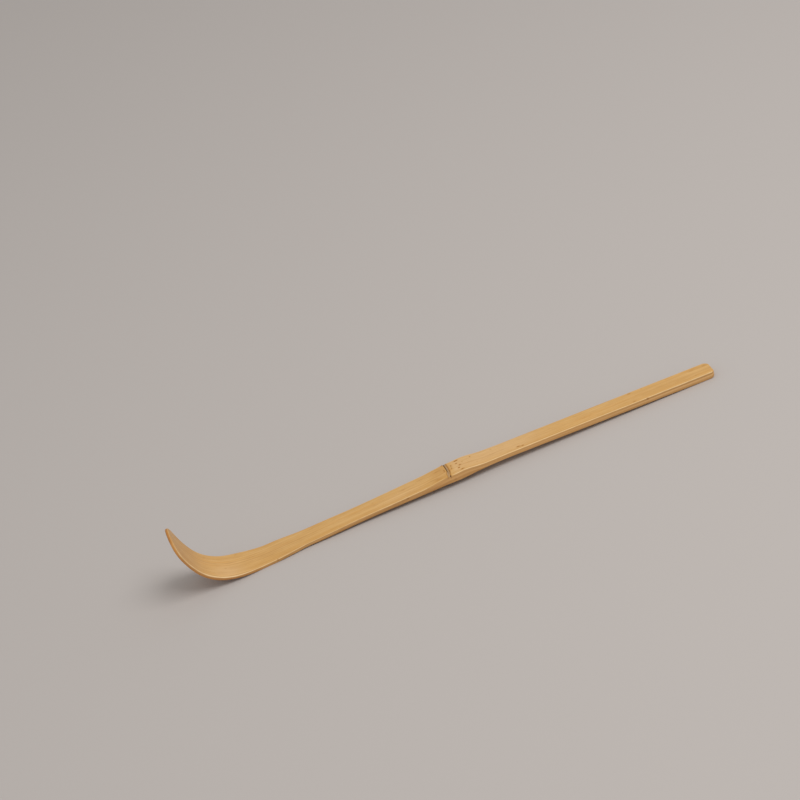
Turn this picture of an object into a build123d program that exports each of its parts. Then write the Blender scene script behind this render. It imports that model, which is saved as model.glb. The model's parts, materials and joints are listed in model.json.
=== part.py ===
"""Bamboo tea scoop, lying at rest with the skin side of the bamboo up.

The scoop is carved from one split of a bamboo stem and bent by heat, so nothing on it is
fastened and nothing moves. Its solids are the growth layers and zones of that split, which
meet face to face: the hard skin over the fibrous flesh, on both sides of one node.

All profiles are drawn in two local directions. Distance runs along the handle, away from the
middle of the sheath scar, and height is square to the handle's skin face. The blade is at the
negative end. The finished scoop is tilted a little, so that the underside of its bend and the
rounded lower edge of its cut end both touch the table at Z = 0. Sizes are in millimetres and
degrees.
"""

import os
from math import asin, atan2, cos, degrees, hypot, radians, sin, tan

from build123d import *

# Lengths along the stick, from the middle of the sheath scar
handle_length = 84.5
node_length = 12.0
waist_gap = 8.0
swell_length = 10.0
front_length = 56.5
neck_gap = 12.5
arch_distance = 4.7
front_angle = 3.4

# Bend of the blade, as arcs on the skin side, and the straight tip after them
entry_radius = 47.0
entry_angle = 14.4
middle_radius = 13.8
middle_angle = 50.4
exit_radius = 29.0
exit_angle = 25.5
tip_length = 0.5
tip_round_length = 7.9

# Thickness from the skin side to the underside
skin_thickness = 0.4
blade_thickness = 1.02
bend_thickness = 1.2
exit_thickness = 1.06
tip_thickness = 1.0
front_thickness = 1.42
scar_thickness = 1.75
node_end_thickness = 1.55
waist_thickness = 1.48
end_thickness = 2.3

# Widths across the stick
end_width = 5.6
waist_width = 6.2
scar_width = 7.0
front_width = 6.3
neck_width = 7.0
bend_width = 9.0
blade_width = 10.9
tip_width = 10.7

# Rounding of the cut end: its corners, seen from above, and its lower edge
end_corner_radius = 1.2
end_round = 1.1

# Relief of the node on the skin side
scar_length = 1.2
lip_height = 0.56
groove_depth = 0.2
shoulder_height = 0.2
crest_height = 0.5
crest_distance = 5.2

# Remains of the stem's partition under the node
stub_front_gap = 0.2
stub_back_gap = 5.4
stub_height = 0.22

# Root buds set in the node's skin, as shares of its length and of its half width
bud_radius = 0.28
bud_depth = 0.34
bud_shares = [
    (0.285, 0.77), (0.27, 0.41), (0.335, 0.04), (0.285, -0.28),
    (0.345, -0.63), (0.425, 0.33), (0.5, -0.06), (0.65, 0.63),
]


def heading_vector(angle):
    """Direction towards the tip, at an angle above the line of the handle."""
    return Vector(-cos(radians(angle)), sin(radians(angle)))


def skin_normal(angle):
    """Direction out of the skin side where the stick has that heading."""
    return Vector(sin(radians(angle)), cos(radians(angle)))


def front_height(distance):
    """Height of the front shaft's straight skin line."""
    return -tan(radians(front_angle)) * (arch_distance - distance)


def arc_point(arc, share, depth):
    """Point a share of the way along an arc of the bend, at a depth below the skin."""
    centre, radius, first, last = arc
    return centre - skin_normal(first + share * (last - first)) * (radius + depth)


# Arcs of the bend's skin line, each with its centre, radius, and first and last heading
bend_start = Vector(-front_length, front_height(-front_length))
bend_arcs = []
arc_start = bend_start
heading = -front_angle
for radius, turn in (
    (entry_radius, entry_angle),
    (middle_radius, middle_angle),
    (exit_radius, exit_angle),
):
    centre = arc_start + skin_normal(heading) * radius
    bend_arcs.append((centre, radius, heading, heading + turn))
    arc_start = arc_point(bend_arcs[-1], 1, 0)
    heading = heading + turn
entry_arc, middle_arc, exit_arc = bend_arcs
tip_heading = heading
tip_point = arc_start + heading_vector(tip_heading) * tip_length

# Centre of the rounding under the cut end, between the end and the tapering underside
waist_distance = node_length + waist_gap
taper_angle = atan2(end_thickness - waist_thickness, handle_length - waist_distance)
round_depth = end_thickness - end_round * (tan(taper_angle) + 1 / cos(taper_angle))
round_centre = Vector(handle_length - end_round, -round_depth)

# Tilt at which the bend's underside and the rounded lower edge of the cut end lie on one level
to_round = round_centre - entry_arc[0]
rest_angle = degrees(
    asin((end_round - entry_radius - blade_thickness) / hypot(to_round.X, to_round.Y))
    - atan2(to_round.Y, to_round.X)
)
along = Vector(cos(radians(rest_angle)), 0, sin(radians(rest_angle)))
outward = Vector(-sin(radians(rest_angle)), 0, cos(radians(rest_angle)))


def turned(point):
    """A local distance and height as a vector in the scoop's own frame, before its shift."""
    return along * point.X + outward * point.Y


tip_back = tip_point - skin_normal(tip_heading) * tip_thickness
lowest = turned(round_centre).Z - end_round
middle = (turned(Vector(handle_length, 0)).X + turned(tip_back).X) / 2
shift = Vector(-middle, 0, -lowest)

side_plane = Plane(origin=shift, x_dir=along, z_dir=(0, -1, 0))
plan_plane = Plane(origin=shift, x_dir=along, z_dir=outward)
tip_plane = Plane(
    origin=shift + turned(tip_point),
    x_dir=turned(heading_vector(tip_heading)),
    z_dir=turned(skin_normal(tip_heading)),
)

# Faces that part the zones, corners of the node's underside, and a length past every face
scar_front = -scar_length / 2
scar_back = scar_length / 2
lip_top = front_height(scar_front) + lip_height
scar_floor = lip_top - skin_thickness
node_under_start = Vector(scar_front, front_height(scar_front) - scar_thickness)
node_under_end = Vector(node_length, -node_end_thickness)
reach = handle_length + front_length


def blade_line(depth):
    """Draw the line a depth below the skin, from the start of the bend to the tip."""
    for arc in bend_arcs:
        ThreePointArc(arc_point(arc, 0, depth), arc_point(arc, 0.5, depth), arc_point(arc, 1, depth))
    Line(arc_point(exit_arc, 1, depth), tip_point - skin_normal(tip_heading) * depth)


def blade_back():
    """Draw the underside of the blade: thickest in the middle of the bend, thin at the tip."""
    entry_end = arc_point(entry_arc, 1, blade_thickness)
    ThreePointArc(
        arc_point(entry_arc, 0, blade_thickness),
        arc_point(entry_arc, 0.5, blade_thickness),
        entry_end,
    )
    Spline(
        entry_end,
        arc_point(middle_arc, 0.5, bend_thickness),
        arc_point(exit_arc, 0.5, exit_thickness),
        tip_back,
        tangents=[heading_vector(entry_arc[3]), heading_vector(tip_heading)],
    )


def front_line(depth):
    """Draw the line a depth below the skin, from the scar to the start of the bend."""
    drop = skin_normal(-front_angle) * depth
    swell_point = Vector(-swell_length, front_height(-swell_length)) - drop
    lip_point = Vector(scar_front, lip_top - depth)
    TangentArc(swell_point, lip_point, tangent=-heading_vector(-front_angle))
    Line(swell_point, bend_start - drop)


def tip_edge(first_depth, last_depth):
    """Draw the square edge of the tip between two depths."""
    normal = skin_normal(tip_heading)
    Line(tip_point - normal * first_depth, tip_point - normal * last_depth)


# Outline of the scoop as it is seen from above, square to the handle
flank_start = arc_point(entry_arc, 1, 0)
flank_end = tip_point - heading_vector(tip_heading) * tip_round_length
past_tip = tip_back.X - tip_length
half_widths = [
    (handle_length, end_width / 2),
    (waist_distance, waist_width / 2),
    (0, scar_width / 2),
    (-front_length / 2, front_width / 2),
    (neck_gap - front_length, neck_width / 2),
    (-front_length, bend_width / 2),
    (flank_start.X, blade_width / 2),
    (flank_end.X, tip_width / 2),
]
far_side = [Vector(distance, half) for distance, half in half_widths]
near_side = [Vector(point.X, -point.Y) for point in far_side]
with BuildSketch(plan_plane) as plan_outline:
    with BuildLine():
        for side in (far_side, near_side):
            Line(side[0], side[1])
            Spline(*side[1:], tangents=[side[1] - side[0], Vector(-1, 0)])
        Line(far_side[0], near_side[0])
        Polyline(
            far_side[-1],
            Vector(past_tip, tip_width / 2),
            Vector(past_tip, -tip_width / 2),
            near_side[-1],
        )
    make_face()
    fillet(plan_outline.vertices().sort_by(Axis.X)[-2:], end_corner_radius)

# Rounded outline of the tip, square to the blade there
with BuildSketch(tip_plane) as tip_outline:
    with Locations((-tip_round_length, 0)):
        Ellipse(tip_round_length, tip_width / 2)
    with Locations((-tip_round_length - reach / 2, 0)):
        Rectangle(reach, reach)


def trim_to(outline):
    """Keep what lies within an outline, on both sides of its plane."""
    extrude(outline.sketch, amount=reach, both=True, mode=Mode.INTERSECT)


# Skin of the lower internode: the blade and the front shaft
with BuildPart() as lower_skin:
    with BuildSketch(side_plane):
        with BuildLine():
            front_line(0)
            blade_line(0)
            tip_edge(0, skin_thickness)
            front_line(skin_thickness)
            blade_line(skin_thickness)
            Line((scar_front, lip_top), (scar_front, scar_floor))
        make_face()
    extrude(amount=blade_width, both=True)
    trim_to(plan_outline)
    trim_to(tip_outline)

# Flesh of the lower internode, under its skin
with BuildPart() as lower_flesh:
    with BuildSketch(side_plane):
        with BuildLine():
            front_line(skin_thickness)
            blade_line(skin_thickness)
            tip_edge(skin_thickness, tip_thickness)
            blade_back()
            front_normal = skin_normal(-front_angle)
            shaft_point = Vector(-front_length / 2, front_height(-front_length / 2))
            Spline(
                bend_start - front_normal * blade_thickness,
                shaft_point - front_normal * front_thickness,
                node_under_start,
                tangents=[-heading_vector(-front_angle), Vector(1, 0)],
            )
            Line(node_under_start, (scar_front, scar_floor))
        make_face()
    extrude(amount=blade_width, both=True)
    trim_to(plan_outline)
    trim_to(tip_outline)

# Sheath scar: the dark ring left in the groove where the stem's sheath grew
with BuildPart() as sheath_scar:
    with BuildSketch(side_plane):
        with BuildLine():
            Polyline(
                (scar_front, scar_floor),
                (scar_back, scar_floor),
                (scar_back, lip_top - groove_depth),
                (scar_front, lip_top - groove_depth),
                close=True,
            )
        make_face()
    extrude(amount=blade_width, both=True)
    trim_to(plan_outline)

# Skin of the node, from the scar over its crest to the handle, before its root buds are cut
with BuildPart() as node_blank:
    with BuildSketch(side_plane):
        with BuildLine():
            Spline(
                (scar_back, shoulder_height),
                (crest_distance, crest_height),
                (node_length, 0),
                tangents=[Vector(1, 0), Vector(1, 0)],
            )
            Polyline(
                (node_length, 0),
                (node_length, -skin_thickness),
                (scar_back, scar_floor),
                (scar_back, shoulder_height),
            )
        make_face()
    extrude(amount=blade_width, both=True)
    trim_to(plan_outline)

bud_plane = plan_plane.offset(crest_height - bud_depth)
bud_places = [(node_length * run, scar_width / 2 * side) for run, side in bud_shares]

with BuildPart() as root_buds:
    add(node_blank.part)
    with BuildSketch(bud_plane):
        with Locations(*bud_places):
            Circle(bud_radius)
    extrude(amount=crest_height, mode=Mode.INTERSECT)

with BuildPart() as node_skin:
    add(node_blank.part)
    with BuildSketch(bud_plane):
        with Locations(*bud_places):
            Circle(bud_radius)
    extrude(amount=crest_height, mode=Mode.SUBTRACT)

# Flesh of the node, under the scar and the node's skin
with BuildPart() as node_flesh:
    with BuildSketch(side_plane):
        with BuildLine():
            Polyline(
                node_under_end,
                (node_length, -skin_thickness),
                (scar_back, scar_floor),
                (scar_front, scar_floor),
                node_under_start,
                close=True,
            )
        make_face()
    extrude(amount=blade_width, both=True)
    trim_to(plan_outline)

# Stub of the partition that closed the stem at the node, carved down to a low mound
under_run = (node_under_end - node_under_start).normalized()
under_normal = Vector(under_run.Y, -under_run.X)
stub_first = node_under_start + under_run * stub_front_gap
stub_last = node_under_end - under_run * stub_back_gap
stub_top = (stub_first + stub_last) / 2 + under_normal * stub_height
with BuildPart() as diaphragm_stub:
    with BuildSketch(side_plane):
        with BuildLine():
            ThreePointArc(stub_first, stub_top, stub_last)
            Line(stub_last, stub_first)
        make_face()
    extrude(amount=blade_width, both=True)
    trim_to(plan_outline)

# Skin and flesh of the upper internode, which is the handle
with BuildPart() as handle_skin:
    with BuildSketch(side_plane):
        with BuildLine():
            Polyline(
                (node_length, 0),
                (handle_length, 0),
                (handle_length, -skin_thickness),
                (node_length, -skin_thickness),
                close=True,
            )
        make_face()
    extrude(amount=blade_width, both=True)
    trim_to(plan_outline)

with BuildPart() as handle_flesh:
    with BuildSketch(side_plane) as handle_profile:
        with BuildLine():
            end_corner = Vector(handle_length, -end_thickness)
            waist_point = Vector(waist_distance, -waist_thickness)
            Line(end_corner, waist_point)
            TangentArc(waist_point, node_under_end, tangent=waist_point - end_corner)
            Polyline(
                node_under_end,
                (node_length, -skin_thickness),
                (handle_length, -skin_thickness),
                end_corner,
            )
        make_face()
        fillet(handle_profile.vertices().sort_by(Axis.Y)[0], end_round)
    extrude(amount=blade_width, both=True)
    trim_to(plan_outline)

os.makedirs("parts", exist_ok=True)
pieces = {
    "lower_internode_skin": lower_skin,
    "lower_internode_flesh": lower_flesh,
    "sheath_scar": sheath_scar,
    "node_skin": node_skin,
    "root_buds": root_buds,
    "node_flesh": node_flesh,
    "diaphragm_stub": diaphragm_stub,
    "handle_skin": handle_skin,
    "handle_flesh": handle_flesh,
}
for name, piece in pieces.items():
    piece.part.label = name
    export_step(piece.part, f"parts/{name}.step")
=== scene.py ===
"""Looks of the bamboo tea scoop: its carved and worn pieces, their materials and a plain studio.

Every piece stands for one solid and keeps to its place. Shapes are worked out in millimetres, in
three measures. Distance runs along the skin from the middle of the sheath scar, with the blade on
the negative side, and follows the bend. Across is square to it, with the viewer's side negative.
Depth is measured down from the skin.
"""

import json
from math import ceil, cos, pi, radians, sin, tan

import bpy
import numpy as np
from mathutils import Matrix, Vector


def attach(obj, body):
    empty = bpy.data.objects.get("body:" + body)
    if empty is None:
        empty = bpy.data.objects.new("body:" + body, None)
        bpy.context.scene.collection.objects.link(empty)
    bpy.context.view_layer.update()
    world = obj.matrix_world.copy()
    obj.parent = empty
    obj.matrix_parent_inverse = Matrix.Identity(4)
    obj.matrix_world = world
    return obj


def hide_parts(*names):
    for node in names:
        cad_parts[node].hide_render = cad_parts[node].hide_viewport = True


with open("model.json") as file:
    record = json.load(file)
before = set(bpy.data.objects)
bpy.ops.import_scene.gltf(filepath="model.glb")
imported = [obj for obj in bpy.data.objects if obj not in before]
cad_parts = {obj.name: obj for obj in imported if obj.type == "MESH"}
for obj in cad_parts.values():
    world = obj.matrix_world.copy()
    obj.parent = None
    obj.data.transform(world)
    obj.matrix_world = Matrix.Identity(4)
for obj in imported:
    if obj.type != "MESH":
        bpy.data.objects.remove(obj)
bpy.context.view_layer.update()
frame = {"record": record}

MM = 0.001

# Driving sizes of the solids: lengths from the middle of the sheath scar
handle_length = 84.5
node_length = 12.0
waist_distance = 20.0
swell_length = 10.0
front_length = 56.5
neck_distance = 44.0
arch_distance = 4.7
front_angle = radians(3.4)

# Arcs of the bend on the skin side, as radius and turn, and the straight tip after them
bend_arcs = [(47.0, radians(14.4)), (13.8, radians(50.4)), (29.0, radians(25.5))]
tip_length = 0.5
tip_round_length = 7.9

# Thicknesses and widths of the solids
skin_thickness = 0.4
blade_thickness = 1.02
bend_thickness = 1.2
exit_thickness = 1.06
tip_thickness = 1.0
front_thickness = 1.42
scar_thickness = 1.75
node_end_thickness = 1.55
waist_thickness = 1.48
end_thickness = 2.3
end_width = 5.6
waist_width = 6.2
scar_width = 7.0
front_width = 6.3
neck_width = 7.0
bend_width = 9.0
blade_width = 10.9
tip_width = 10.7

# Rounding of the cut end: its corner on each side, and its lower edge as cut and as worn
near_corner = 0.8
far_corner = 1.7
end_round = 1.1
worn_end_round = 1.5

# Relief of the node, and the partition's stub under it
scar_front = -0.6
scar_back = 0.6
lip_height = 0.56
shoulder_height = 0.2
crest_height = 0.5
crest_distance = 5.2
stub_first = -0.4
stub_last = 6.6
stub_height = 0.22
stub_round = 0.8
stub_margin = 1.5

# Root buds: shares of the node's length and half width, half length, half width and strength
buds = [
    (0.285, 0.77, 0.66, 0.32, 0.6), (0.27, 0.41, 0.36, 0.24, 1.0), (0.335, 0.04, 0.4, 0.24, 1.0),
    (0.285, -0.28, 0.4, 0.27, 1.0), (0.345, -0.63, 0.7, 0.3, 0.8), (0.425, 0.33, 0.4, 0.2, 0.45),
    (0.5, -0.06, 0.36, 0.18, 0.3), (0.65, 0.63, 0.3, 0.22, 0.75),
]
bud_spots = [(node_length * run, scar_width / 2 * side, *rest) for run, side, *rest in buds]
bud_pit_depth = 0.07
bud_pit_spread = 1.2
bud_dome = 0.035
bud_sink = 0.015
bud_root = 0.2

# Groove of the scar: its front border, its back border, its dark crevice with a pit, and its ridge
front_border_distance = -0.25
front_border_spread = 0.4
front_border_return = 0.17
front_border_depth = 0.05
back_border_distance = 0.34
back_border_rise = 0.17
back_border_middle = 0.6
back_border_half = 2.8
back_border_depth = 0.07
border_width = 0.1
halo_distance = 0.22
halo_width = 0.17
crevice_distance = -0.2
crevice_bow = 0.012
crevice_slant = 0.06
crevice_width = 0.07
crevice_open_width = 0.05
crevice_end_width = 0.06
crevice_depth = 0.25
pit_middle = (back_border_distance, -3.0)
pit_halves = (0.24, 0.35)
ridge_depth = 0.09
ridge_front_slope = 0.15
ridge_back_slope = (0.12, 0.05)
pale_spot_middle = (0.06, -2.9)
pale_spot_halves = (0.14, 0.24)

# Where the groove changes across the stick: the first three towards the near side, the others away
border_start = (-0.4, 0.8)
spread_start = (-0.4, 1.3)
return_start = (1.9, 3.0)
crevice_opening = (-2.4, 1.2)
crevice_end = (2.2, 3.2)

# Drift of the groove's near end towards the blade, and where it starts, grows and fades
groove_drift = -0.42
drift_start = 0.8
drift_reach = 2.6
drift_fade = (0.9, 3.2)
drift_depths = (0.6, 1.4)

# Near side pared back from the skin: places along the stick, and how far the edge is drawn in there
lean_places = [-20, -10, -3, 3, 9, 22, 40, 60]
lean_sizes = [0, 0.13, 0.58, 0.44, 0.17, 0.2, 0.2, 0]

# Worn bevels along the skin's edges and the lower edges, and chips as distance, half length and size
near_bevel = 0.14
far_bevel = 0.06
blade_bevel = 0.26
blade_bevel_run = (-70, -63)
node_bevel = 0.03
node_bevel_distance = 0.6 * crest_distance
node_bevel_length = 4
end_bevel = 0.16
end_bevel_run = (handle_length - 1.5, handle_length - 0.5)
tip_bevel = 0.3
tip_bevel_drop = 0.22
tip_rim_length = 5.0
bevel_drop = 0.55
blade_bevel_drop = 1.0
low_bevel = 0.2
low_bevel_drop = 0.08
bevel_power = 1.5
chips = [(-13.4, 0.5, 0.04), (-55.5, 0.6, 0.1), (62.8, 0.4, 0.03)]

# Traces of the knife: the skin's crown, carved sides, strokes on the underside and fibre grooves
crown_drop = 0.015
carve_wave = 0.012
stroke_width = 1.7
stroke_depth = 0.05
fibre_groove = 0.015
fibre_turn_per_mm = 13

# Unevenness along the stick: waves as size, length and shift, and the two lengths of each beat
carve_waves = [(0.6, 3.1, 1.7), (0.4, 1.3, 0.8)]
stroke_waves = [(0.4, 13, 0), (0.15, 4.1, 2)]
bevel_beat = (2.3, 0.9)
wear_beat = (1.7, 0.6)

# Pale worn edge, brightened further as a painted highlight: places along the stick, how pale it is there,
# and how far in and down it reaches
wear_and_highlight_places = [-92.5, -91, -88.5, -80, -76, -64, -45, -30, -20, -12, -6, -0.8, 0.8]
wear_and_highlight_sizes = [0.05, 0.4, 0.65, 0.75, 1, 1, 0.7, 0.7, 1, 1, 0.6, 0.45, 1]
wear_inset_shares = (0.5, 1.2)
wear_full_depth = 0.04
wear_reach = 0.2
wear_end_reach = 0.25
wear_end_start = (58, 75)
wear_stop = (handle_length - 1, handle_length - 0.3)
unworn_at_scar = 1.2
far_wear = 0.5

# Marks on the skin: distance, across, half length, half width and strength
marks = [
    (21.8, -1.6, 0.5, 0.25, 1.0), (23.3, -1.95, 0.4, 0.22, 0.95), (14.3, 2.0, 0.3, 0.25, 0.6),
    (59.0, 2.3, 0.75, 0.28, 0.75), (63.0, 2.45, 0.4, 0.25, 0.55), (83.0, 1.6, 0.8, 0.5, 0.45),
    (80.1, 2.3, 1.6, 0.28, 0.4), (62.8, -2.85, 0.35, 0.12, 0.6), (58.9, -2.2, 0.45, 0.25, 0.6),
    (-3.2, 1.75, 0.9, 0.16, 0.8), (-8.6, 1.9, 1.6, 0.22, 0.5), (-5.3, -1.1, 1.8, 0.22, 0.45),
    (-13.0, 1.1, 5.0, 0.3, 0.3), (-0.8, 3.3, 0.35, 0.34, 0.9), (-0.9, 0.4, 0.2, 0.55, 1.0),
    (-13.8, -3.1, 0.5, 0.12, 0.45), (-66.6, 4.6, 0.35, 0.3, 0.6), (-70.6, -1.1, 0.45, 0.3, 0.45),
    (-61.9, 1.3, 0.3, 0.25, 0.4), (-59.5, 0.0, 0.3, 0.25, 0.4), (-54.9, 4.4, 0.4, 0.25, 0.45),
    (-60.9, 4.9, 0.4, 0.25, 0.5), (-55.5, -4.4, 0.4, 0.25, 0.7), (1.54, 1.4, 0.2, 0.42, 1.0),
    (1.4, 0.2, 0.2, 0.36, 1.0), (3.9, 2.78, 0.22, 0.2, 0.7), (-1.9, 1.7, 0.5, 0.5, 0.3),
    (-3.4, -2.3, 1.5, 0.25, 0.45), (-3.6, -1.65, 1.6, 0.4, 0.45), (22.5, -1.85, 0.8, 0.3, 0.45),
    (-23.8, 1.2, 0.4, 0.2, 0.45), (-14.2, 0.8, 0.9, 0.4, 0.3), (9.0, -1.3, 0.35, 0.3, 0.4),
    (52.7, 2.1, 0.9, 0.3, 0.3), (78.8, 1.5, 1.2, 0.5, 0.35), (68.0, 0.1, 1.0, 0.25, 0.3),
    (60.7, 0.1, 1.5, 0.25, 0.25), (75.7, -1.9, 2.0, 0.4, 0.25), (59.5, -1.7, 2.2, 0.7, 0.2),
    (30.8, 2.2, 0.4, 0.25, 0.3), (32.5, 0.9, 0.4, 0.2, 0.3), (-76.3, 3.7, 0.5, 0.35, 0.4),
    (-83.5, -3.3, 3.0, 1.2, 0.25), (3.1, 2.7, 0.9, 0.3, 0.3), (-87.0, -3.4, 2.0, 1.0, 0.25),
]

# Marks on the near side: distance, depth, half length, half depth and strength
side_marks = [
    (1.2, 1.6, 0.5, 0.25, 0.7), (-2.0, 1.9, 0.6, 0.2, 0.6), (-13.9, 0.5, 0.5, 0.2, 0.9),
    (-15.3, 0.55, 1.2, 0.18, 0.5), (62.9, 0.4, 0.4, 0.18, 0.55),
]

# Broad bright places on the skin, the one at the bend's bottom a painted highlight: distance, across, half
# length, half width and strength
bright_places_and_highlight = [(-16, -1.4, 9, 2.2, 0.6), (-70.5, -2.6, 5, 3.4, 0.8), (-91, 2.6, 2.5, 2.6, 0.55)]

# Paler places on the node's skin: distance, across, half length, half width and strength
pale_marks = [(2.6, -0.5, 1.1, 1.1, 0.3), (3.0, 1.9, 0.5, 0.45, 0.25)]

# Shifts of colour along the stick: where each starts and is full, and where some fade and end
pale_band = (0.9, 2.5, 16, 42)
dark_lip = (-9, -2.5, -0.6, 0.2)
front_shaft = (-44, -34, -20, -12)
handle_start = (6, 14)
handle_end = (45, 72)

# Shifts of colour on the sides: darker before the node, a dark line, and a pale stripe part way down
before_node_distance = -6
before_node_length = 6
side_line_depth = 0.55
side_line_width = 0.12
side_stripe_share = 0.48
side_stripe_width = 0.17

# Stretches of the materials' colours: where each starts and where it is full
toasted_run = (-52.0, -70.0)
tip_flesh_run = (-84.0, -90.0)
tip_edge_run = (-91.2, -92.6)
# The skin greys and darkens along the blade towards the tip: painted shade with a greyish painted
# reflection
painted_tip_shade_run = (-73.0, -83.0)
near_skin_run = (-68.0, -58.0)
near_skin_across = (-0.5, -3.0)
side_depths = (0.22, 0.36)
pith_ends = (0.3, 2.6)

# Distances in from the outline within which a point counts as on the sides
side_margin = 0.03
groove_margin = 0.001

# Spacing of the meshes' points
long_step = 0.3
fine_step = 0.12
scar_step = 0.05
lip_run = 1.5
shoulder_run = 0.8
tip_stations = 64
tip_last_turn = radians(88.8)
corner_stations = 28
edge_insets = np.array([0.0, 0.04, 0.09, 0.15, 0.22, 0.32, 0.48])
middle_columns = 36
skin_wall_rows = 4
flesh_wall_rows = 12
stub_wall_rows = 3
bud_rings = 5
bud_spokes = 24
bud_first_ring = 0.15
sharp_angle = radians(48)

# Colours of the skin as they are seen, from 0 to 255
golden_skin = (207, 162, 97)
dull_skin = (198, 151, 86)
pale_patch = (213, 170, 108)
warm_patch = (204, 150, 76)
# Pale skin also paints the highlight at the bottom of the bend
pale_skin_and_highlight = (213, 172, 119)
dark_skin = (190, 139, 72)
skin_grain = (178, 130, 68)
dark_dash = (180, 128, 64)
pale_dash = (224, 184, 126)
dark_line = (172, 120, 58)
pale_line = (222, 180, 118)
dark_fleck = (150, 100, 46)
# Greyish brown painted over the blade towards the tip as shade and reflection
painted_tip_shade = (160, 124, 92)
near_skin = (200, 148, 72)
# Pale of worn edges, also used as a painted highlight along them
worn_edge_and_highlight = (234, 199, 147)
ridge_fibre = (170, 137, 98)
frayed_fibre = (130, 98, 64)
brown_stain = (160, 100, 12)
dark_crevice = (74, 50, 32)

# Colours of the flesh, the buds, the partition and the floor
pale_flesh = (212, 164, 106)
dull_flesh = (198, 149, 91)
toasted_flesh = (192, 131, 70)
tip_flesh = (208, 146, 72)
tip_edge = (164, 104, 44)
flesh_grain = (182, 131, 75)
fibre_bundle = (152, 102, 52)
pale_side = (238, 192, 132)
dark_side = (142, 90, 38)
flesh_stain = (140, 90, 42)
pale_bud = (205, 158, 92)
dark_bud = (156, 94, 8)
bud_grain = (170, 112, 38)
pale_pith = (206, 164, 112)
dull_pith = (176, 128, 74)
pith_pore = (132, 90, 48)
floor_colour = (184, 177, 172)

# Camera in the stick's own measures: distance, across and height in millimetres
camera_place = (-52.056, -423.964, 310.341)
camera_aim = (-2.074, 44.263, 0.0)
camera_roll = radians(-18.111)
camera_sensor = 36.0
camera_lens = 81.0

# Floor and lights, with lengths in metres and power in watts
floor_reach = 3.0
floor_roughness = 0.9
floor_shine = 0.1
key_place = (0.39, -0.28, 0.84)
key_size = 0.56
key_power = 4.9
sky_strength = 0.6


def smooth_step(value, low, high):
    """Rise from 0 to 1 between two values, level at both ends."""
    share = np.clip((value - low) / (high - low), 0, 1)
    return share * share * (3 - 2 * share)


def within(value, stretch):
    """1 inside a stretch, rising between its first two values and falling between its last two."""
    start, full, fade, end = stretch
    return smooth_step(value, start, full) * (1 - smooth_step(value, fade, end))


def bell(value, width):
    """1 at nothing, falling away within about two widths."""
    return np.exp(-((value / width) ** 2))


def spot(first, second, middle, half_first, half_second):
    """A soft oval spot, 1 in its middle."""
    return bell(np.hypot((first - middle[0]) / half_first, (second - middle[1]) / half_second), 1)


def spots(first, second, places, spread=1.0):
    """Soft oval spots added up, each with its middle, its half sizes and its strength."""
    total = 0
    for *middle, half_first, half_second, strength in places:
        total = total + strength * spot(first, second, middle, spread * half_first, spread * half_second)
    return total


def waves(s, sizes, side=1):
    """Waves along the stick added up, each with its size, its length and its shift on that side."""
    return sum(size * np.sin(s / length + shift * side) for size, length, shift in sizes)


def beat(s, lengths, shift):
    """Two waves along the stick multiplied, so that they come and go."""
    return np.sin(s / lengths[0]) * np.sin(s / lengths[1] + shift)


def clamped_spline(places, values, first_slope, last_slope):
    """Smooth curve through points, with a given slope at each end, as a function of place."""
    x = np.array(places)
    y = np.array(values)
    gap = np.diff(x)
    matrix = np.eye(len(x))
    target = np.full(len(x), first_slope)
    target[-1] = last_slope
    for i in range(1, len(x) - 1):
        before, after = gap[i - 1], gap[i]
        matrix[i, i - 1:i + 2] = 1 / before, 2 / before + 2 / after, 1 / after
        target[i] = 3 * ((y[i] - y[i - 1]) / before**2 + (y[i + 1] - y[i]) / after**2)
    slope = np.linalg.solve(matrix, target)

    def curve(at):
        """The curve's value, level beyond its first and last place."""
        at = np.clip(at, x[0], x[-1])
        i = np.clip(np.searchsorted(x, at) - 1, 0, len(gap) - 1)
        t = (at - x[i]) / gap[i]
        rise = y[i + 1] - y[i]
        first, last = slope[i] * gap[i], slope[i + 1] * gap[i]
        return y[i] + t * (first + t * (3 * rise - 2 * first - last + t * (first + last - 2 * rise)))

    return curve


# Skin line: where the skin's middle runs, in local distance and height

def front_height(s):
    """Height of the front shaft's straight line, below the level of the handle."""
    return -tan(front_angle) * (arch_distance - s)


def lip_rise(s):
    """Height that the front shaft swells by, up to the lip of the scar."""
    return lip_height * np.clip((s + swell_length) / (swell_length + scar_front), 0, 1) ** 2


def skin_height(s):
    """Height of the skin over the straight part of the stick."""
    front = front_height(s) + lip_rise(s)
    scar = np.interp(s, [scar_front, scar_back], [front_height(scar_front) + lip_height, shoulder_height])
    climb = (crest_height - shoulder_height) * smooth_step(s, scar_back, crest_distance)
    node = shoulder_height + climb - crest_height * smooth_step(s, crest_distance, node_length)
    return np.where(s <= scar_front, front, np.where(s < scar_back, scar, node))


def outward_of(heading):
    """Direction out of the skin, in local distance and height."""
    return np.stack([np.sin(heading), np.cos(heading)], axis=-1)


def skin_line(s):
    """Local points of the skin line and its headings."""
    straight = np.maximum(s, -front_length)
    points = np.stack([straight, skin_height(straight)], axis=-1)
    heading = -front_angle * smooth_step(-straight, swell_length, front_length)
    past = np.maximum(-front_length - s, 0)
    for radius, turn in bend_arcs:
        turned = np.clip(past / radius, 0, turn)
        points = points + radius * (outward_of(heading) - outward_of(heading + turned))
        heading = heading + turned
        past = np.maximum(past - radius * turn, 0)
    towards_tip = np.stack([-np.cos(heading), np.sin(heading)], axis=-1)
    return points + past[..., None] * towards_tip, heading


arc_lengths = [radius * turn for radius, turn in bend_arcs]
entry_end = -front_length - arc_lengths[0]
tip_distance = -front_length - sum(arc_lengths) - tip_length
round_start = tip_distance + tip_round_length

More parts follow.
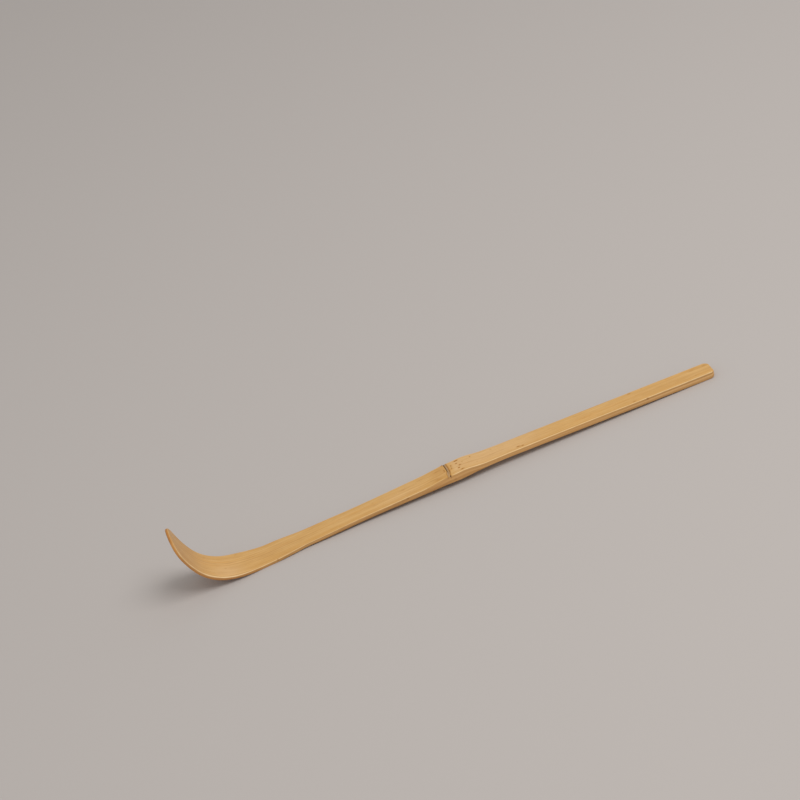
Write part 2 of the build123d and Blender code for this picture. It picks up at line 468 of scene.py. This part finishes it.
# The stick's own directions and starting point, from the two faces that the record names
mounts = {mount["name"]: mount for mount in frame["record"]["mounts"]}
along = np.array(mounts["cut_end"]["axis"])
outward = np.array(mounts["handle_face"]["axis"])
sideways = np.cross(outward, along)
end_middle = handle_length * along - (skin_thickness + end_thickness - end_round) / 2 * outward
origin = np.array(mounts["cut_end"]["pos_m"]) - MM * end_middle


def to_frame(distance, across, height):
    """Points of the shared frame, in metres, from straight local measures."""
    return origin + MM * (distance * along + across * sideways + height * outward)


def drifted(s, across, depth):
    """Distances near the scar, shifted along with the near end of its groove."""
    reach = np.clip((-across - drift_start) / drift_reach, 0, 1) ** 1.5
    fade = 1 - smooth_step(np.abs(s), *drift_fade)
    above = 1 - smooth_step(depth, *drift_depths)
    return s + groove_drift * reach * fade * above


def place(s, across, depth):
    """Points of the shared frame, in metres, from distance, across and depth."""
    points, heading = skin_line(drifted(s, across, depth))
    local = points - depth[..., None] * outward_of(heading)
    return to_frame(local[..., :1], across[..., None], local[..., 1:])


# Outline and depths of the stick

plan_half = clamped_spline(
    [skin_line(np.array(round_start))[0][0], skin_line(np.array(entry_end))[0][0],
     -front_length, -neck_distance, -front_length / 2, 0, waist_distance],
    [tip_width / 2, blade_width / 2, bend_width / 2, neck_width / 2,
     front_width / 2, scar_width / 2, waist_width / 2],
    0, (end_width - waist_width) / 2 / (handle_length - waist_distance),
)
blade_depth = clamped_spline(
    [tip_distance, tip_distance + tip_length + arc_lengths[2] / 2,
     entry_end - arc_lengths[1] / 2, entry_end],
    [tip_thickness, exit_thickness, bend_thickness, blade_thickness],
    0, 0,
)
front_depth = clamped_spline(
    [-front_length, -front_length / 2, scar_front],
    [blade_thickness, front_thickness, scar_thickness],
    0, tan(front_angle),
)
near_lean = clamped_spline(lean_places, lean_sizes, 0, 0)


def rounded_by(s, radius):
    """How far a rounding of the cut end draws its outline in."""
    past = np.clip(s - handle_length + radius, 0, radius)
    return radius - np.sqrt(radius**2 - past**2)


def half_width(s, side, share=1.0):
    """Distance from the middle line to the side's face, at a share of the way down to the underside."""
    straight = np.interp(s, [waist_distance, handle_length], [waist_width / 2, end_width / 2])
    full = np.where(s > waist_distance, straight, plan_half(skin_line(s)[0][..., 0]))
    wave = carve_wave * (1 + waves(s, carve_waves, side))
    corner = np.where(side < 0, rounded_by(s, near_corner), rounded_by(s, far_corner))
    lean = np.where(side < 0, near_lean(s) * (1 - share), 0)
    into_tip = np.clip((round_start - s) / tip_round_length, 0, 1)
    return (full - wave - corner - lean) * np.sqrt(1 - into_tip**2)


def outline_gap(s, across, share=1.0):
    """Distance in from the scoop's sides, tip and cut end, at a share of the way down."""
    body = np.minimum(half_width(s, np.sign(across), share) - np.abs(across), handle_length - s)
    into_tip = np.maximum(round_start - s, 0)
    half = tip_width / 2
    level = (into_tip / tip_round_length) ** 2 + (across / half) ** 2
    steepness = 2 * np.hypot(into_tip / tip_round_length**2, across / half**2)
    tip = (1 - level) / np.maximum(steepness, 1 / tip_round_length)
    return np.maximum(np.where(into_tip > 0, tip, body), 0)


def floor_depth(s):
    """Depth of the face where the skin meets the flesh."""
    scar_floor = front_height(scar_front) + lip_height - skin_thickness
    floor = np.interp(s, [scar_front, scar_back, node_length], [scar_floor, scar_floor, -skin_thickness])
    inside = (s > scar_front) & (s < node_length)
    return np.where(inside, skin_height(s) - floor, skin_thickness)


def under_depth(s):
    """Depth of the underside."""
    front = np.where(s < entry_end, blade_depth(s), front_depth(s)) + lip_rise(s)
    scar_under = front_height(scar_front) - scar_thickness
    node = skin_height(s) - np.interp(s, [scar_front, node_length], [scar_under, -node_end_thickness])
    taper = (end_thickness - waist_thickness) / (handle_length - waist_distance)
    before = np.minimum(s - waist_distance, 0)
    reach = waist_distance - node_length
    flare = (node_end_thickness - waist_thickness + taper * reach) / reach**2
    handle = waist_thickness + taper * (s - waist_distance) + flare * before**2
    handle = handle - rounded_by(s, worn_end_round)
    return np.where(s <= scar_front, front, np.where(s < node_length, node, handle))


def share_down(s, depth):
    """Share of the way down from the skin to the underside."""
    return np.clip(depth / under_depth(s), 0, 1)


# Worn and carved detail, as depth below the plain shapes

def front_border_line(across):
    """Distance at which the scar's groove begins, further forward in its near half."""
    spread = front_border_spread * smooth_step(-across, *spread_start)
    spread = spread - front_border_return * smooth_step(-across, *return_start)
    return front_border_distance - spread


def back_border_line(across):
    """Distance at which the scar's groove ends, furthest back near its middle."""
    from_middle = (across - back_border_middle) / back_border_half
    return back_border_distance + back_border_rise * np.clip(1 - from_middle**2, 0, 1)


def front_border(s, across):
    """The shallow front border of the groove's near half, 1 on its line."""
    return smooth_step(-across, *border_start) * bell(s - front_border_line(across), border_width)


def back_border(s, across):
    """The shallow crevice along the groove's back, 1 on its line."""
    return bell(s - back_border_line(across), border_width)


def crevice(s, across):
    """The dark crevice, 1 in its middle, deep at the far end and closing towards the near end's pit."""
    bow = crevice_bow * np.maximum(across, 0) ** 2
    line = crevice_distance - bow + crevice_slant * np.maximum(-across, 0)
    opened = smooth_step(across, *crevice_opening)
    width = crevice_width + crevice_open_width * opened
    width = width + crevice_end_width * smooth_step(across, *crevice_end)
    pit = spot(s, across, pit_middle, *pit_halves)
    return np.maximum(opened * bell(s - line, width), 0.9 * pit)


def pale_spot(s, across):
    """The small worn spot in the groove's near end, beside its pit."""
    return spot(s, across, pale_spot_middle, *pale_spot_halves)


def ridge(s, across):
    """The low flat ridge inside the groove, 1 on it."""
    front = front_border_line(across)
    back = back_border_line(across)
    before_back, past_back = ridge_back_slope
    height = within(s, (front, front + ridge_front_slope, back - before_back, back + past_back))
    return height * (1 - 0.9 * pale_spot(s, across))


def skin_relief(s, across):
    """Depth of the scar's groove and of the pit round each root bud."""
    groove = crevice_depth * crevice(s, across) + ridge_depth * ridge(s, across)
    borders = front_border_depth * front_border(s, across) + back_border_depth * back_border(s, across)
    return groove + borders + bud_pit_depth * spots(s, across, bud_spots, bud_pit_spread)


def on_blade(s):
    """1 on the upturned blade, falling to nothing towards the shaft."""
    return 1 - smooth_step(s, *blade_bevel_run)


def at_tip(s):
    """1 at the very tip, falling to nothing along its rim."""
    return 1 - smooth_step(s, tip_distance, tip_distance + tip_rim_length)


def bevel_width(s, across):
    """Width of the worn bevel along the skin's edges, which differs on the near and the far side.

    The near side's is wider at the node, at chips and on the blade. The tip and the cut end have
    widths of their own.
    """
    near = near_bevel + node_bevel * bell(s - node_bevel_distance, node_bevel_length)
    near = near + (blade_bevel - near_bevel) * on_blade(s)
    for middle, half_length, size in chips:
        near = near + size * bell(s - middle, half_length)
    uneven = 1 + 0.15 * beat(s, bevel_beat, 1)
    sides = np.where(across < 0, near, far_bevel) * uneven
    sides = sides + (tip_bevel - sides) * at_tip(s)
    return sides + (end_bevel - sides) * smooth_step(s, *end_bevel_run)


def bevel_depth(s, across):
    """Depth of the worn bevel at the very edge, steeper on the blade."""
    return (bevel_drop + (blade_bevel_drop - bevel_drop) * on_blade(s)) * bevel_width(s, across)


def edge_drop(s, across):
    """Depth of the worn bevel and of the skin's slight crown."""
    into_edge = np.clip(1 - outline_gap(s, across, 0) / bevel_width(s, across), 0, 1)
    bevel = bevel_depth(s, across) * into_edge**bevel_power
    crown = crown_drop * np.minimum(np.abs(across) / (front_width / 2), 1) ** 2
    return bevel + crown


def knife_strokes(s, across):
    """Shallow hollows that long strokes of the knife left on the underside."""
    lane = across / stroke_width + waves(s, stroke_waves)
    off_edge = np.minimum(outline_gap(s, across) / (2 * low_bevel), 1)
    return stroke_depth * np.abs(np.sin(pi * lane)) * off_edge


# Values that the materials read at each point

def edge_wear_and_highlight(s, across, depth):
    """How pale the skin is worn along its edges, with a painted highlight in that paleness, and in a few
    places on the node.

    The edges are hardly worn pale at the tip, and not at all at the scar and the cut end.
    """
    width = bevel_width(s, across)
    gap = outline_gap(s, across, share_down(s, depth))
    inward = 1 - smooth_step(gap / width, *wear_inset_shares)
    drop = bevel_depth(s, across)
    reach = wear_reach + wear_end_reach * smooth_step(s, *wear_end_start)
    below = 1 - smooth_step(depth, drop + wear_full_depth, drop + reach)
    shown = np.where(across < 0, 1, far_wear)
    run = np.interp(s, wear_and_highlight_places, wear_and_highlight_sizes)
    stopped = (1 - smooth_step(s, *wear_stop)) * (1 - bell(s, unworn_at_scar))
    uneven = 0.85 + 0.15 * beat(s, wear_beat, across)
    worn = inward * below * shown * run * stopped * uneven
    paler = 0.6 * pale_spot(s, across) + spots(s, across, pale_marks)
    return worn + paler * (depth < skin_thickness)


def stain(s, across, depth):
    """Brown marks: specks, the lines beside the scar, the buds and knocked edges."""
    halo = bell(s - back_border_line(across) - halo_distance, halo_width)
    dark = 0.8 * front_border(s, across) + 0.9 * back_border(s, across) + 0.45 * halo
    dark = dark + spots(s, across, marks) + spots(s, across, bud_spots)
    near_side = spots(s, depth, side_marks) * (across < 0)
    return np.clip(dark * (depth < 2 * skin_thickness) + near_side, 0, 1)


def skin_tone(s, across):
    """Shifts on the skin: a pale band behind the scar, bright places with a painted highlight at the bend's
    bottom, and a darker lip.
    """
    return 0.8 * within(s, pale_band) + spots(s, across, bright_places_and_highlight) - 0.6 * within(s, dark_lip)


def side_tone(s, depth):
    """Shifts on the carved sides: a dark line under the skin, a pale stripe and a dark lower part."""
    share = share_down(s, depth)
    shaft = within(s, front_shaft)
    before_node = bell(s - before_node_distance, before_node_length)
    on_handle = smooth_step(s, *handle_start)
    towards_end = smooth_step(s, *handle_end)
    line = (0.05 + 0.47 * towards_end + 0.25 * shaft) * bell(depth - side_line_depth, side_line_width)
    stripe = (0.36 * on_handle + 0.6 * towards_end) * bell(share - side_stripe_share, side_stripe_width)
    dark = 0.34 + 0.26 * before_node + 0.16 * shaft + 0.1 * towards_end
    low = dark * smooth_step(share, 0.45 - 0.25 * before_node, 0.8)
    return stripe - line - low


def tone(s, across, depth):
    """Shifts of colour: above nothing is paler, below is darker."""
    gap = outline_gap(s, across, share_down(s, depth))
    on_side = (gap < side_margin) & (depth > 0.6 * skin_thickness)
    on_skin = depth < 1.5 * skin_thickness
    return np.where(on_side, side_tone(s, depth), skin_tone(s, across) * on_skin)


# Sections across the stick, one row of points for each station

def ramp_between(first, last, count):
    """Evenly spaced values between two columns, without the two ends."""
    return first + (last - first) * np.linspace(0, 1, count + 2)[1:-1]


def across_columns(s, share):
    """Places across the stick at a share of the way down, closest together at both edges."""
    near = -half_width(s, -1, share)
    far = half_width(s, 1, share)
    inset = edge_insets * np.minimum(1, (far - near) / (4 * edge_insets[-1]))
    left = near + inset
    right = far - inset[:, ::-1]
    return np.hstack([left, ramp_between(left[:, -1:], right[:, :1], middle_columns), right])


def closed_section(upper, lower, rows):
    """Join an upper and a lower run of points, near to far, by a wall of rows down each side."""
    joined = []
    for above, below in zip(upper, lower):
        far_wall = ramp_between(above[:, -1:], below[:, -1:], rows)
        near_wall = ramp_between(above[:, :1], below[:, :1], rows)
        joined.append(np.hstack([above, far_wall, below[:, ::-1], near_wall[:, ::-1]]))
    return joined


def skin_section(s):
    """Worn skin over its flat floor."""
    across = across_columns(s, 0)
    top = edge_drop(s, across) + skin_relief(s, across)
    below = across_columns(s, floor_depth(s) / under_depth(s))
    return closed_section((across, top), (below, floor_depth(s) * np.ones_like(below)), skin_wall_rows)


def flesh_section(s):
    """Flesh under the skin's floor, with carved edges and an underside cut by knife strokes."""
    floor = floor_depth(s)
    under = under_depth(s)
    above = across_columns(s, floor / under)
    across = across_columns(s, 1)
    bare = 1 - within(s, (stub_first - stub_margin, stub_first, stub_last, stub_last + stub_margin))
    width = low_bevel + (tip_bevel - low_bevel) * at_tip(s)
    drop = low_bevel_drop + (tip_bevel_drop - low_bevel_drop) * at_tip(s)
    room = np.minimum(1, (under - floor) / (1.8 * drop)) * bare
    bevel = drop * room * np.clip(1 - outline_gap(s, across) / width, 0, 1) ** bevel_power
    carved = under - bevel - knife_strokes(s, across) * bare
    made, depth = closed_section((above, floor * np.ones_like(above)), (across, carved), flesh_wall_rows)
    share = (depth - floor) / (under - floor)
    groove = np.sin(pi * share) * (1 + np.sin(depth * fibre_turn_per_mm + np.sin(s / 7)))
    on_side = outline_gap(s, made, share_down(s, depth)) < groove_margin
    return made - np.sign(made) * fibre_groove * groove * on_side, depth


def stub_section(s):
    """Low mound of the partition, rounded at its sides."""
    across = across_columns(s, 1)
    under = under_depth(s) * np.ones_like(across)
    share = (s - (stub_first + stub_last) / 2) / ((stub_last - stub_first) / 2)
    height = stub_height * (1 - share**2)
    rounded = 1 - 0.4 * np.clip(1 - outline_gap(s, across) / stub_round, 0, 1) ** 2
    lumps = 1 - 0.15 * np.sin(s * 2.3 + across) ** 2 * np.sin(across * 1.9 + 1) ** 2
    return closed_section((across, under), (across, under + height * rounded * lumps), stub_wall_rows)


def stations(first, last, step):
    """Evenly spaced distances, as a column."""
    return np.linspace(first, last, ceil(abs(last - first) / step) + 1)[:, None]


def lower_stations():
    """From the scar to the tip, closer together at the lip and round the tip."""
    turns = np.linspace(0, tip_last_turn, tip_stations)[:, None]
    return np.vstack([
        stations(scar_front, scar_front - lip_run, scar_step)[:-1],
        stations(scar_front - lip_run, round_start, long_step)[:-1],
        round_start - tip_round_length * np.sin(turns),
    ])


def node_stations():
    """From the scar to the handle, closest together beside the scar and close at the buds."""
    return np.vstack([
        stations(scar_back, scar_back + shoulder_run, scar_step)[:-1],
        stations(scar_back + shoulder_run, node_length, fine_step),
    ])


def handle_stations():
    """From the node to the cut end, closer together round its corners."""
    turns = np.linspace(0, pi / 2, corner_stations)[:, None]
    corner_start = handle_length - far_corner
    return np.vstack([
        stations(node_length, corner_start, long_step)[:-1],
        corner_start + far_corner * np.sin(turns),
    ])


# Meshes

def keep_values(mesh, name, kind, field, values):
    """Store one value for each vertex, for the materials to read."""
    layer = mesh.attributes.new(name, kind, "POINT")
    layer.data.foreach_set(field, np.ascontiguousarray(values, dtype=np.float32).ravel())


def add_mesh(name, faces, fibre):
    """An object whose vertices carry their fibre coordinates and the values of their marks."""
    s, across, depth = fibre
    mesh = bpy.data.meshes.new(name)
    mesh.from_pydata(place(s, across, depth).reshape(-1, 3).tolist(), [], faces)
    keep_values(mesh, "fibre", "FLOAT_VECTOR", "vector", np.stack(fibre, axis=-1))
    shown = {
        "wear_and_highlight": edge_wear_and_highlight(s, across, depth),
        "stain": stain(s, across, depth),
        "tone": tone(s, across, depth),
        "crevice": crevice(s, across),
        "ridge": ridge(s, across),
    }
    for label, values in shown.items():
        keep_values(mesh, label, "FLOAT", "value", values)
    mesh.shade_smooth()
    mesh.set_sharp_from_angle(angle=sharp_angle)
    piece = bpy.data.objects.new(name, mesh)
    bpy.context.scene.collection.objects.link(piece)
    return piece


def band_faces(index):
    """Faces between neighbouring rows of numbered points, where each row closes on itself."""
    after = np.roll(index, -1, axis=1)
    return np.stack([index[:-1], index[1:], after[1:], after[:-1]], axis=-1).reshape(-1, 4)


def sweep(name, s, section):
    """Closed mesh through the sections at the stations."""
    across, depth = section(s)
    index = np.arange(across.size).reshape(across.shape)
    sides = band_faces(index)
    if s[-1, 0] < s[0, 0]:
        sides = sides[:, ::-1]
        index = index[:, ::-1]
    faces = sides.tolist() + [index[0].tolist(), index[-1][::-1].tolist()]
    return add_mesh(name, faces, (s * np.ones_like(across), across, depth))


def bud_points(number, bud):
    """Distances, places across and depths of one bud: its uneven rings, then its top and its root."""
    distance, side, half_length, half_wide, _ = bud
    turn = np.linspace(0, 2 * pi, bud_spokes, endpoint=False)
    share = np.linspace(bud_first_ring, 1, bud_rings)[:, None]
    uneven = 1 + 0.15 * np.sin(2 * turn + number) + 0.1 * np.sin(3 * turn + 2.3 * number)
    rings = half_length * uneven * share * np.cos(turn), half_wide * uneven * share * np.sin(turn)
    s = distance + np.append(rings[0], [0, 0])
    across = side + np.append(rings[1], [0, 0])
    sunk = np.repeat(bud_sink - bud_dome * (1 - share**2), bud_spokes)
    sunk = np.append(sunk, [bud_sink - bud_dome, bud_root])
    return s, across, skin_relief(s, across) + edge_drop(s, across) + sunk


def bud_faces(start):
    """Faces of one bud, whose points are numbered from a start."""
    ring = start + np.arange(bud_rings * bud_spokes).reshape(bud_rings, bud_spokes)
    after = np.roll(ring, -1, axis=1)
    top = start + ring.size
    root = top + 1
    faces = band_faces(ring).tolist()
    faces += [[top, a, b] for a, b in zip(ring[0].tolist(), after[0].tolist())]
    faces += [[root, b, a] for a, b in zip(ring[-1].tolist(), after[-1].tolist())]
    return faces


def add_buds(name):
    """Low uneven buds, one in each pit of the node's skin."""
    fibres, faces = [], []
    for number, bud in enumerate(bud_spots):
        faces += bud_faces(number * (bud_rings * bud_spokes + 2))
        fibres.append(bud_points(number, bud))
    return add_mesh(name, faces, [np.concatenate(values) for values in zip(*fibres)])


# Materials

def srgb(red, green, blue):
    """A colour as it is seen, from 0 to 255, in the linear values that shaders take."""
    seen = np.array([red, green, blue]) / 255
    return (*np.where(seen > 0.04045, ((seen + 0.055) / 1.055) ** 2.4, seen / 12.92), 1.0)


class Finish:
    """The nodes of one material, with short calls for the few kinds in use."""

    def __init__(self, name):
        self.material = bpy.data.materials.new(name)
        self.material.use_nodes = True
        self.tree = self.material.node_tree
        self.shader = self.tree.nodes["Principled BSDF"]
        self.fibre = self.attribute("fibre", "Vector")
        self.along, self.across, self.depth = self.add("ShaderNodeSeparateXYZ", {0: self.fibre}).outputs

    def add(self, kind, inputs, **settings):
        """A new node with its settings and inputs."""
        node = self.tree.nodes.new(kind)
        for name, value in settings.items():
            setattr(node, name, value)
        for socket, value in inputs.items():
            self.feed(node.inputs[socket], value)
        return node

    def feed(self, socket, value):
        """Link a socket to another node's output, or set its value."""
        if isinstance(value, bpy.types.NodeSocket):
            self.tree.links.new(value, socket)
        else:
            socket.default_value = value

    def attribute(self, name, output="Fac"):
        """Values kept at the mesh's points."""
        return self.add("ShaderNodeAttribute", {}, attribute_name=name).outputs[output]

    def stretched(self, scale):
        """Fibre coordinates scaled along, across and in depth."""
        return self.add("ShaderNodeVectorMath", {0: self.fibre, 1: scale}, operation="MULTIPLY").outputs[0]

    def noise(self, scale, detail=2.0):
        """Soft noise, with a scale for each fibre coordinate."""
        inputs = {"Vector": self.stretched(scale), "Scale": 1.0, "Detail": detail}
        return self.add("ShaderNodeTexNoise", inputs).outputs[0]

    def cells(self, scale):
        """Distance from scattered points, with a scale for each fibre coordinate."""
        inputs = {"Vector": self.stretched(scale), "Scale": 1.0}
        return self.add("ShaderNodeTexVoronoi", inputs).outputs["Distance"]

    def between(self, value, low, high, first=0.0, last=1.0):
        """A value's way from low to high, as a way from first to last."""
        inputs = {"Value": value, "From Min": low, "From Max": high, "To Min": first, "To Max": last}
        return self.add("ShaderNodeMapRange", inputs, interpolation_type="SMOOTHSTEP").outputs[0]

    def times(self, first, second):
        """Product of two values."""
        return self.add("ShaderNodeMath", {0: first, 1: second}, operation="MULTIPLY").outputs[0]

    def blend(self, share, first, second):
        """Blend of two colours."""
        return self.add("ShaderNodeMix", {0: share, 6: first, 7: second}, data_type="RGBA").outputs[2]

    def tint(self, colour, value, low, high, strength, towards):
        """A colour blended towards a seen one, up to a strength, as a value goes from low to high."""
        return self.blend(self.between(value, low, high, 0, strength), colour, srgb(*towards))

    def finish(self, colour, roughness, height, bump, shine):
        """Wire the shader up, with a bump in millimetres, and give the material."""
        self.feed(self.shader.inputs["Base Color"], colour)
        self.feed(self.shader.inputs["Roughness"], roughness)
        self.shader.inputs["Specular IOR Level"].default_value = shine
        node = self.add("ShaderNodeBump", {"Strength": 1.0, "Distance": bump * MM, "Height": height})
        self.feed(self.shader.inputs["Normal"], node.outputs[0])
        return self.material


def side_colour(f):
    """Carved flesh: fibre bundles as lines along it and as dots where it is cut across."""
    bands = f.noise((0.02, 2.0, 2.6))
    grain = f.noise((0.06, 6.0, 7.0), 3.0)
    bundles = f.cells((0.03, 2.8, 2.8))
    tone_value = f.attribute("tone")
    colour = f.tint(srgb(*pale_flesh), bands, 0.35, 0.65, 1.0, dull_flesh)
    colour = f.tint(colour, f.along, *toasted_run, 0.75, toasted_flesh)
    colour = f.tint(colour, f.along, *tip_flesh_run, 0.5, tip_flesh)
    colour = f.tint(colour, f.along, *tip_edge_run, 0.6, tip_edge)
    colour = f.tint(colour, grain, 0.5, 0.75, 0.45, flesh_grain)
    colour = f.tint(colour, bundles, 0.26, 0.08, 0.35, fibre_bundle)
    colour = f.tint(colour, tone_value, 0, 1, 0.7, pale_side)
    colour = f.tint(colour, tone_value, 0, -1, 0.75, dark_side)
    return colour, grain


def skin_colour(f):
    """Smoked skin: golden, streaked along its fibres, pale where edges are worn and brightened there as a
    painted highlight, brown where marked, and greyed towards the tip by painted shade.
    """
    bands = f.noise((0.02, 2.6, 2.6))
    grain = f.noise((0.05, 5.2, 5.2), 3.0)
    lines = f.noise((0.015, 1.7, 1.7), 1.0)
    dashes = f.noise((0.2, 1.9, 1.9))
    patches = f.noise((0.07, 0.3, 0.3))
    warmth = f.noise((0.03, 0.8, 0.8))
    flecks = f.noise((0.5, 7.0, 7.0), 1.0)
    tone_value = f.attribute("tone")
    colour = f.tint(srgb(*golden_skin), bands, 0.35, 0.65, 1.0, dull_skin)
    colour = f.tint(colour, patches, 0.45, 0.7, 0.5, pale_patch)
    colour = f.tint(colour, warmth, 0.5, 0.7, 0.55, warm_patch)
    # Paler where the tone rises, which includes a painted highlight at the bend's bottom
    colour = f.tint(colour, tone_value, 0, 1, 0.75, pale_skin_and_highlight)
    colour = f.tint(colour, tone_value, 0, -1, 0.7, dark_skin)
    colour = f.tint(colour, grain, 0.5, 0.72, 0.4, skin_grain)
    colour = f.tint(colour, dashes, 0.54, 0.74, 0.34, dark_dash)
    colour = f.tint(colour, dashes, 0.44, 0.26, 0.34, pale_dash)
    colour = f.tint(colour, lines, 0.56, 0.7, 0.33, dark_line)
    colour = f.tint(colour, lines, 0.44, 0.3, 0.35, pale_line)
    colour = f.tint(colour, flecks, 0.67, 0.77, 0.4, dark_fleck)
    # Painted shade and a greyish painted reflection, growing along the blade towards the tip
    colour = f.tint(colour, f.along, *painted_tip_shade_run, 0.25, painted_tip_shade)
    near_edge = f.times(f.between(f.across, *near_skin_across, 0, 0.35), f.between(f.along, *near_skin_run))
    colour = f.blend(near_edge, colour, srgb(*near_skin))
    side, _ = side_colour(f)
    colour = f.blend(f.between(f.depth, *side_depths), colour, side)
    # Pale worn edges, which also carry a painted highlight along them
    colour = f.tint(colour, f.attribute("wear_and_highlight"), 0, 1, 0.9, worn_edge_and_highlight)
    colour = f.tint(colour, f.attribute("ridge"), 0, 1, 0.85, ridge_fibre)
    colour = f.tint(colour, f.attribute("stain"), 0, 1, 0.9, brown_stain)
    colour = f.tint(colour, f.attribute("crevice"), 0, 0.8, 0.9, dark_crevice)
    return colour, grain


def skin_material():
    """Satin skin of the bamboo."""
    f = Finish("bamboo_skin")
    colour, grain = skin_colour(f)
    return f.finish(colour, f.between(grain, 0.3, 0.7, 0.4, 0.54), grain, bump=0.025, shine=0.35)


def flesh_material():
    """Carved flesh of the bamboo, matt."""
    f = Finish("bamboo_flesh")
    colour, grain = side_colour(f)
    colour = f.tint(colour, f.attribute("stain"), 0, 1, 0.6, flesh_stain)
    return f.finish(colour, f.between(grain, 0.3, 0.7, 0.5, 0.68), grain, bump=0.05, shine=0.25)


def scar_material():
    """Scar of the sheath: skin up to the crevice, and dull torn fibres on the ridge."""
    f = Finish("sheath_scar")
    colour, _ = skin_colour(f)
    torn = f.noise((3.0, 2.4, 2.4), 3.0)
    frayed = f.times(f.between(torn, 0.45, 0.7, 0, 0.5), f.attribute("ridge"))
    colour = f.blend(frayed, colour, srgb(*frayed_fibre))
    return f.finish(colour, f.between(torn, 0.3, 0.7, 0.6, 0.8), torn, bump=0.06, shine=0.25)


def bud_material():
    """Root buds: brown, each as dark as its mark, and mottled."""
    f = Finish("root_buds")
    grain = f.noise((2.4, 3.4, 3.4), 3.0)
    colour = f.tint(srgb(*pale_bud), f.attribute("stain"), 0.1, 0.95, 1.0, dark_bud)
    colour = f.tint(colour, grain, 0.45, 0.7, 0.35, bud_grain)
    return f.finish(colour, f.between(grain, 0.3, 0.7, 0.55, 0.75), grain, bump=0.04, shine=0.3)


def partition_material():
    """Pith of the partition: pale and crumbly, running out into the flesh at both ends."""
    f = Finish("partition")
    grain = f.noise((1.6, 1.6, 1.6), 4.0)
    pores = f.cells((1.1, 2.4, 2.4))
    worn = f.noise((0.8, 0.9, 0.9), 3.0)
    pith = f.tint(srgb(*pale_pith), grain, 0.35, 0.7, 1.0, dull_pith)
    pith = f.tint(pith, pores, 0.25, 0.05, 0.5, pith_pore)
    start, full = pith_ends
    middle = f.times(
        f.between(f.along, stub_first + start, stub_first + full),
        f.between(f.along, stub_last - start, stub_last - full),
    )
    left = f.times(middle, f.between(worn, 0.35, 0.6, 0.15, 0.9))
    flesh_around, _ = side_colour(f)
    colour = f.blend(left, flesh_around, pith)
    return f.finish(colour, f.between(grain, 0.3, 0.7, 0.65, 0.85), grain, bump=0.1, shine=0.25)


# Pieces, each in the place of one solid

skin = skin_material()
flesh = flesh_material()
lower = lower_stations()
scar = stations(scar_front, scar_back, scar_step)
node = node_stations()
core = stations(scar_front, node_length, fine_step)
stub = stations(stub_first, stub_last, fine_step)
handle = handle_stations()
pieces = [
    (sweep("worn_lower_skin", lower, skin_section), "lower_internode_skin", skin),
    (sweep("carved_lower_flesh", lower, flesh_section), "lower_internode_flesh", flesh),
    (sweep("scar_ring", scar, skin_section), "sheath_scar", scar_material()),
    (sweep("worn_node_skin", node, skin_section), "node_skin", skin),
    (add_buds("bud_dots"), "root_buds", bud_material()),
    (sweep("carved_node_flesh", core, flesh_section), "node_flesh", flesh),
    (sweep("partition_mound", stub, stub_section), "diaphragm_stub", partition_material()),
    (sweep("worn_handle_skin", handle, skin_section), "handle_skin", skin),
    (sweep("carved_handle_flesh", handle, flesh_section), "handle_flesh", flesh),
]
for piece, solid, material in pieces:
    piece.data.materials.append(material)
    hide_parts(solid)
    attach(piece, "root")


# Plain pale floor, soft light and the camera

def add_floor():
    """A square of plain floor at the level that the scoop rests on."""
    mesh = bpy.data.meshes.new("floor")
    corners = [(-1, -1), (1, -1), (1, 1), (-1, 1)]
    mesh.from_pydata([(floor_reach * x, floor_reach * y, 0) for x, y in corners], [], [(0, 1, 2, 3)])
    floor = bpy.data.objects.new("floor", mesh)
    bpy.context.scene.collection.objects.link(floor)
    material = bpy.data.materials.new("floor")
    material.use_nodes = True
    shader = material.node_tree.nodes["Principled BSDF"]
    shader.inputs["Base Color"].default_value = srgb(*floor_colour)
    shader.inputs["Roughness"].default_value = floor_roughness
    shader.inputs["Specular IOR Level"].default_value = floor_shine
    mesh.materials.append(material)


def add_key():
    """A square soft lamp that faces the scoop."""
    lamp = bpy.data.lights.new("key", "AREA")
    lamp.size = key_size
    lamp.energy = key_power
    key = bpy.data.objects.new("key", lamp)
    key.location = key_place
    key.rotation_euler = (-Vector(key_place)).to_track_quat("-Z", "Y").to_euler()
    bpy.context.scene.collection.objects.link(key)


def add_sky():
    """Even white light from all around."""
    world = bpy.data.worlds.new("studio")
    world.use_nodes = True
    background = world.node_tree.nodes["Background"]
    background.inputs["Color"].default_value = (1.0, 1.0, 1.0, 1.0)
    background.inputs["Strength"].default_value = sky_strength
    bpy.context.scene.world = world


def add_camera():
    """The photographed view."""
    position = Vector(to_frame(*camera_place))
    forward = (Vector(to_frame(*camera_aim)) - position).normalized()
    level = forward.cross(Vector(outward)).normalized()
    lift = level.cross(forward)
    right = level * cos(camera_roll) + lift * sin(camera_roll)
    turn = Matrix((right, right.cross(forward), -forward)).transposed()
    camera = bpy.data.objects.new("camera", bpy.data.cameras.new("camera"))
    camera.data.sensor_width = camera_sensor
    camera.data.lens = camera_lens
    camera.matrix_world = Matrix.Translation(position) @ turn.to_4x4()
    bpy.context.scene.collection.objects.link(camera)
    bpy.context.scene.camera = camera


add_floor()
add_key()
add_sky()
add_camera()
bpy.context.scene.view_settings.view_transform = "Standard"
